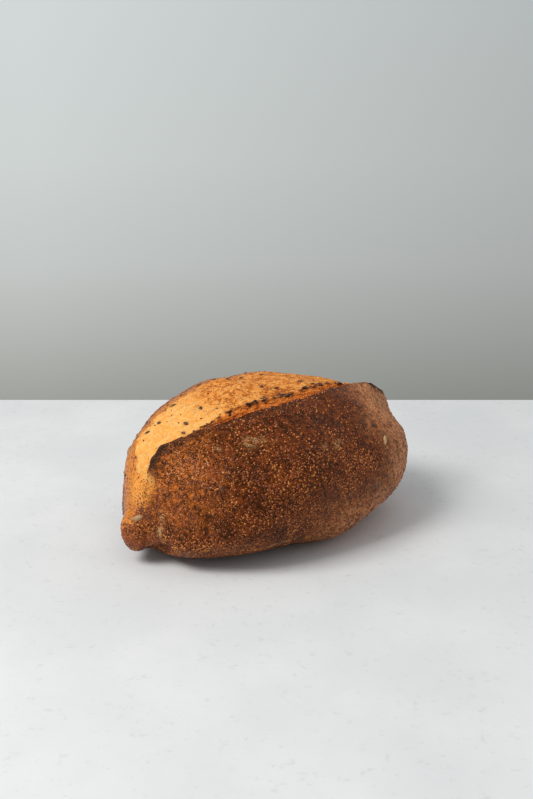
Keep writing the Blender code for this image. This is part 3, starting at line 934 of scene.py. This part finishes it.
def put(tree, socket, value):
    """Links a socket, or sets its plain value."""
    if isinstance(value, bpy.types.NodeSocket):
        tree.links.new(value, socket)
    elif isinstance(value, tuple) and len(value) == 3 and socket.type == "RGBA":
        socket.default_value = value + (1.0,)
    else:
        socket.default_value = value


def put_all(tree, node, inputs):
    for name, value in inputs.items():
        put(tree, node.inputs[name], value)


def add_node(tree, kind, inputs, **settings):
    node = tree.nodes.new("ShaderNode" + kind)
    for key, value in settings.items():
        setattr(node, key, value)
    put_all(tree, node, inputs)
    return node


def mix(tree, share, first, second):
    """Mixes two colours."""
    return add_node(tree, "Mix", {0: share, 6: first, 7: second}, data_type="RGBA").outputs[2]


def paint(tree, colour, layers):
    """Lays colours over the first one, each by its own share."""
    for share, shade in layers:
        colour = mix(tree, share, colour, shade)
    return colour


def calc(tree, operation, first, second):
    return add_node(tree, "Math", {0: first, 1: second}, operation=operation).outputs[0]


def times(tree, first, second):
    return calc(tree, "MULTIPLY", first, second)


def plus(tree, first, second):
    return calc(tree, "ADD", first, second)


def vector_calc(tree, operation, inputs, output=0):
    return add_node(tree, "VectorMath", inputs, operation=operation).outputs[output]


def ramp(tree, value, low, high, to_low=0.0, to_high=1.0):
    """Maps a value from low..high to to_low..to_high, held at both ends."""
    spans = {"Value": value, "From Min": low, "From Max": high, "To Min": to_low, "To Max": to_high}
    return add_node(tree, "MapRange", spans, interpolation_type="SMOOTHSTEP").outputs[0]


def noise(tree, where, scale, detail=3.0, roughness=0.55):
    settings = {"Vector": where, "Scale": scale, "Detail": detail, "Roughness": roughness}
    return add_node(tree, "TexNoise", settings).outputs[0]


def warped(tree, where, scale, amount):
    """Coordinates pushed about by noise, so that cells lose their straight edges."""
    push = add_node(tree, "TexNoise", {"Vector": where, "Scale": scale, "Detail": 2.0}).outputs[1]
    centred = vector_calc(tree, "SUBTRACT", {0: push, 1: (0.5, 0.5, 0.5)})
    step = vector_calc(tree, "SCALE", {0: centred, "Scale": amount})
    return vector_calc(tree, "ADD", {0: where, 1: step})


def object_coordinates(tree):
    return tree.nodes.new("ShaderNodeTexCoord").outputs["Object"]


def set_bump(tree, shader, height, strength, distance_up):
    bump = add_node(tree, "Bump", {"Height": height, "Strength": strength, "Distance": distance_up})
    put(tree, shader.inputs["Normal"], bump.outputs[0])


def masks(tree, name):
    """The four masks of one layer."""
    layer = add_node(tree, "Attribute", {}, attribute_name=name)
    parts = add_node(tree, "SeparateColor", {"Color": layer.outputs["Color"]})
    return parts.outputs[0], parts.outputs[1], parts.outputs[2], layer.outputs["Alpha"]


# Materials
def dark_colour(tree, where, mottle, grain, patch, warm_and_lit, matt, end):
    """Deep brown with glassy golden bubbles, warmer near the knob with painted light there, duller and tan
    at the far end, lightened as painted light there and on the low side.
    """
    bent = warped(tree, where, 500.0, 0.0012)
    cell = add_node(tree, "TexVoronoi", {"Vector": bent, "Scale": 640.0})
    dome = ramp(tree, cell.outputs["Distance"], 0.48, 0.12)
    pick = add_node(tree, "SeparateColor", {"Color": cell.outputs["Color"]}).outputs[0]
    colour = mix(tree, ramp(tree, mottle, 0.34, 0.68), DEEP_BROWN, MID_BROWN)
    gold = times(tree, dome, ramp(tree, pick, 0.45, 0.80))
    gold = times(tree, gold, ramp(tree, mottle, 0.30, 0.58, 0.15, 0.80))
    layers = (
        (ramp(tree, patch, 0.50, 0.68, 0.0, 0.50), MID_BROWN),
        (ramp(tree, patch, 0.48, 0.34, 0.0, 0.55), DEEP_BROWN),
        # Warmer crust near the knob, partly painted light where the light from the left falls
        (times(tree, warm_and_lit, ramp(tree, mottle, 0.38, 0.62, 0.12, 0.95)), WARM_AND_LIT_BROWN),
        (gold, BLISTER_GOLD),
        (ramp(tree, grain, 0.52, 0.38, 0.0, 0.85), DEEP_BROWN),
        (times(tree, matt, ramp(tree, mottle, 0.30, 0.62, 0.25, 0.85)), MATT_TAN),
        # Tan of the far end and low side, partly painted light and painted bounce light
        (times(tree, end, ramp(tree, mottle, 0.33, 0.60, 0.20, 0.95)), END_TAN_AND_LIGHT),
        (times(tree, end, ramp(tree, grain, 0.49, 0.38, 0.0, 0.60)), MID_BROWN),
    )
    return paint(tree, colour, layers), dome


def bloom_colour(tree, where, mottle, grain, patch, bake, bloom):
    """Cream and gold near the knob, flaky orange with brown flecks further along."""
    bent = warped(tree, where, 210.0, 0.0075)
    settings = {"Vector": bent, "Scale": 190.0}
    cell = add_node(tree, "TexVoronoi", settings, feature="DISTANCE_TO_EDGE")
    blotch = noise(tree, where, 150.0, 4.0, 0.62)
    flake_edge = ramp(tree, cell.outputs["Distance"], 0.16, 0.01)
    flake_edge = times(tree, flake_edge, ramp(tree, blotch, 0.56, 0.44))
    colour = mix(tree, ramp(tree, mottle, 0.38, 0.62), BLOOM_YELLOW, BLOOM_CREAM)
    orange = times(tree, bake, ramp(tree, blotch, 0.60, 0.42, 0.40, 1.0))
    colour = mix(tree, orange, colour, BLOOM_ORANGE)
    edge = times(tree, flake_edge, ramp(tree, patch, 0.34, 0.60, 0.20, 0.90))
    fleck = ramp(tree, grain, 0.54, 0.64)
    streak = ramp(tree, noise(tree, bent, 330.0, 3.0, 0.6), 0.57, 0.66)
    for mark, least, most in ((edge, 0.25, 1.0), (fleck, 0.28, 0.85), (streak, 0.15, 0.80)):
        colour = mix(tree, times(tree, mark, ramp(tree, bake, 0.0, 1.0, least, most)), colour, BLOOM_BROWN)
    colour = mix(tree, ramp(tree, bloom, 0.97, 0.35, 0.0, 0.75), colour, BLOOM_ORANGE)
    return colour, flake_edge


def crust_material():
    """Browned crust: dark blistered side, golden bloom, torn band and charred edges."""
    material, tree, shader = new_material("crust")
    where = object_coordinates(tree)
    bloom, torn, char, band = masks(tree, "zones")
    warm_and_lit, matt, dust, pit_shade = masks(tree, "wear_light_and_shade")
    bake, seam, painted_light, end = masks(tree, "tone")
    patch = noise(tree, where, 60.0)
    mottle = noise(tree, where, 270.0, 4.0, 0.62)
    grain = noise(tree, where, 850.0, 3.0, 0.6)
    dark, dome = dark_colour(tree, where, mottle, grain, patch, warm_and_lit, matt, end)
    gold, flake_edge = bloom_colour(tree, where, mottle, grain, patch, bake, bloom)
    drawn = add_node(tree, "Mapping", {"Vector": where, "Scale": STRAND_DRAW}).outputs[0]
    fibre = noise(tree, drawn, 560.0, 4.0, 0.65)
    tear = mix(tree, ramp(tree, fibre, 0.34, 0.54), TORN_RED, TORN_ORANGE)
    old = mix(tree, ramp(tree, mottle, 0.34, 0.64), BLOOM_ORANGE, OLD_CRUST)
    # Painted light: a bright orange patch on the knob's end
    painted_light_share = times(tree, painted_light, ramp(tree, mottle, 0.32, 0.56, 0.45, 0.95))
    dusty = times(tree, dust, ramp(tree, grain, 0.40, 0.58, 0.30, 1.0))

    # Among these layers, painted shade: holes and the gaps round seeds darkened with the char colour
    layers = (
        (times(tree, band, 0.85), old), (painted_light_share, PAINTED_LIGHT_ORANGE), (bloom, gold), (torn, tear), (char, CHAR),
        (times(tree, pit_shade, 0.75), CHAR), (dusty, FLOUR_TAN), (times(tree, seam, 0.8), SEAM_TAN),
    )
    rough = ramp(tree, mottle, 0.30, 0.70, 0.26, 0.48)
    steps = (matt, 0.28), (bloom, 0.24), (torn, 0.12), (dust, 0.30), (char, 0.14), (warm_and_lit, -0.08)
    for mask, amount in steps:
        rough = plus(tree, rough, times(tree, mask, amount))
    looks = {"Base Color": paint(tree, dark, layers), "Roughness": rough}
    gloss = {"Specular IOR Level": 0.32, "Specular Tint": CRUST_GLOSS}
    put_all(tree, shader, {**looks, **gloss})

    relief = times(tree, dome, calc(tree, "SUBTRACT", 1.0, times(tree, bloom, 0.80)))
    for part, amount in ((mottle, 0.9), (grain, 0.5), (fibre, torn)):
        relief = plus(tree, relief, times(tree, part, amount))
    crack = times(tree, times(tree, flake_edge, bloom), times(tree, bake, 0.7))
    set_bump(tree, shader, calc(tree, "SUBTRACT", relief, crack), 1.0, 0.0009)
    return material


def grain_material(name):
    """Two colours broken up by noise, with a little relief."""
    first, second, scale, rough, bumps = GRAINS[name]
    material, tree, shader = new_material(name)
    where = object_coordinates(tree)
    mottle = noise(tree, where, scale)
    patch = noise(tree, where, scale / 9.0)
    both = plus(tree, times(tree, mottle, 0.5), times(tree, patch, 0.5))
    colour = mix(tree, ramp(tree, both, 0.38, 0.62), first, second)
    looks = {"Base Color": colour, "Roughness": ramp(tree, mottle, 0.3, 0.7, *rough)}
    gloss = {"Specular IOR Level": 0.42, "Specular Tint": GRAIN_GLOSS}
    put_all(tree, shader, {**looks, **gloss})
    set_bump(tree, shader, mottle, 0.5, bumps)
    return material


def table_material():
    """Pale matt table top with faint clouding."""
    material, tree, shader = new_material("table_top")
    where = object_coordinates(tree)
    cloud = noise(tree, where, 9.0, 4.0)
    fine = noise(tree, where, 170.0, 4.0)
    colour = mix(tree, ramp(tree, cloud, 0.3, 0.7), TABLE_SHADE, TABLE_LIGHT)
    colour = mix(tree, ramp(tree, fine, 0.58, 0.74, 0.0, 0.35), colour, TABLE_FLECK)
    put_all(tree, shader, {"Base Color": colour, "Roughness": 0.7})
    set_bump(tree, shader, fine, 0.25, 0.0006)
    return material


# Stage
def camera_frame():
    """Camera position, forward, right and up, so that AIM falls on its pixel."""
    turned = Vector((math.sin(VIEW_TURN), math.cos(VIEW_TURN), 0.0))
    forward = turned * math.cos(VIEW_DOWN) - Vector((0.0, 0.0, math.sin(VIEW_DOWN)))
    right = Vector((math.cos(VIEW_TURN), -math.sin(VIEW_TURN), 0.0))
    upward = right.cross(forward)
    focal = LENS / SENSOR * PICTURE[1]
    side = (AIM_PIXEL[0] - PICTURE[0] / 2.0) / focal
    rise = (PICTURE[1] / 2.0 - AIM_PIXEL[1]) / focal
    position = AIM - VIEW_DISTANCE * (forward + side * right + rise * upward)
    return position, forward, right, upward, turned


def build_camera():
    position, forward, right, upward, _ = camera_frame()
    view = bpy.data.cameras.new("camera")
    view.lens = LENS
    view.sensor_width = SENSOR
    view.clip_start = 0.01
    camera = new_object("camera", view)
    axes = Matrix((right, upward, -forward)).transposed().to_4x4()
    camera.matrix_world = Matrix.Translation(position) @ axes
    bpy.context.scene.camera = camera


def build_table():
    """A pale table top whose back edge lies behind the loaf, square to the view."""
    slab = bmesh.new()
    bmesh.ops.create_cube(slab, size=1.0)
    for vertex in slab.verts:
        vertex.co = Vector(a * b for a, b in zip(vertex.co, TABLE_SIZE))
    mesh = mesh_from("table", slab)
    mesh.materials.append(table_material())
    table = new_object("table", mesh)
    position, _, _, _, turned = camera_frame()
    centre = position + turned * (TABLE_BACK_EDGE - TABLE_SIZE[1] / 2.0)
    table.location = (centre.x, centre.y, -TABLE_SIZE[2] / 2.0 - 0.0002)
    table.rotation_euler = (0.0, 0.0, -VIEW_TURN)


def add_area_light(name, degrees_round, degrees_up, distance, size, power, colour):
    """A soft light aimed at the loaf. Degrees run from straight behind it, negative to the camera's left."""
    _, _, right, _, turned = camera_frame()
    azimuth, height = math.radians(degrees_round), math.radians(degrees_up)
    flat = right * math.sin(azimuth) + turned * math.cos(azimuth)
    way = flat * math.cos(height) + Vector((0.0, 0.0, math.sin(height)))
    lamp = bpy.data.lights.new(name, "AREA")
    lamp.shape = "SQUARE"
    lamp.size = size
    lamp.energy = power
    lamp.color = colour
    light = new_object(name, lamp)
    light.location = way * distance + Vector((0.0, 0.0, 0.05))
    light.rotation_euler = (-way).to_track_quat("-Z", "Y").to_euler()


def wall_colour(tree, height):
    """The backdrop's grey, darker towards the table as painted shade."""
    low, high = WALL_HEIGHTS
    place = add_node(tree, "MapRange", {"Value": height, "From Min": low, "From Max": high})
    wall = add_node(tree, "ValToRGB", {0: place.outputs[0]})
    for position, _ in WALL_COLOURS[1:-1]:
        wall.color_ramp.elements.new(position)
    for stop, (position, colour) in zip(wall.color_ramp.elements, WALL_COLOURS):
        stop.position = position
        stop.color = colour + (1.0,)
    return wall.outputs[0]


def build_world():
    """A grey backdrop with painted shade, darker low down and towards the right, and a soft fill that comes
    mostly from above.
    """
    world = bpy.data.worlds.new("studio")
    bpy.context.scene.world = world
    world.use_nodes = True
    tree = world.node_tree
    fill = tree.nodes["Background"]
    way = tree.nodes.new("ShaderNodeTexCoord").outputs["Generated"]
    height = add_node(tree, "SeparateXYZ", {"Vector": way}).outputs[2]
    across = vector_calc(tree, "DOT_PRODUCT", {0: way, 1: tuple(camera_frame()[2])}, "Value")
    # Painted shade: the backdrop dims towards the right
    shade = add_node(tree, "MapRange", {"Value": across, **WALL_SIDE_SHADE}).outputs[0]
    settings = {"Color": wall_colour(tree, height), "Strength": shade}
    backdrop = add_node(tree, "Background", settings)
    fill.inputs["Color"].default_value = FILL_COLOUR
    put(tree, fill.inputs["Strength"], ramp(tree, height, -0.1, 1.0, *FILL_STRENGTH))
    seen = tree.nodes.new("ShaderNodeLightPath").outputs["Is Camera Ray"]
    both = add_node(tree, "MixShader", {0: seen, 1: fill.outputs[0], 2: backdrop.outputs[0]})
    put(tree, tree.nodes["World Output"].inputs[0], both.outputs[0])


def main():
    spots = seed_spots()
    crust, facts, shift = build_crust(spots, crust_material())
    build_seeds(spots, shift)
    rule = np.random.default_rng(BLISTER_RULE)
    for kind in BLISTERS:
        build_blisters(kind, crust, facts, rule)
    build_crumbs(crust, facts)
    build_specks(crust, facts)
    build_table()
    build_world()
    for name, settings in LIGHTS.items():
        add_area_light(name, *settings)
    build_camera()
    bpy.context.scene.view_settings.view_transform = "Standard"


main()
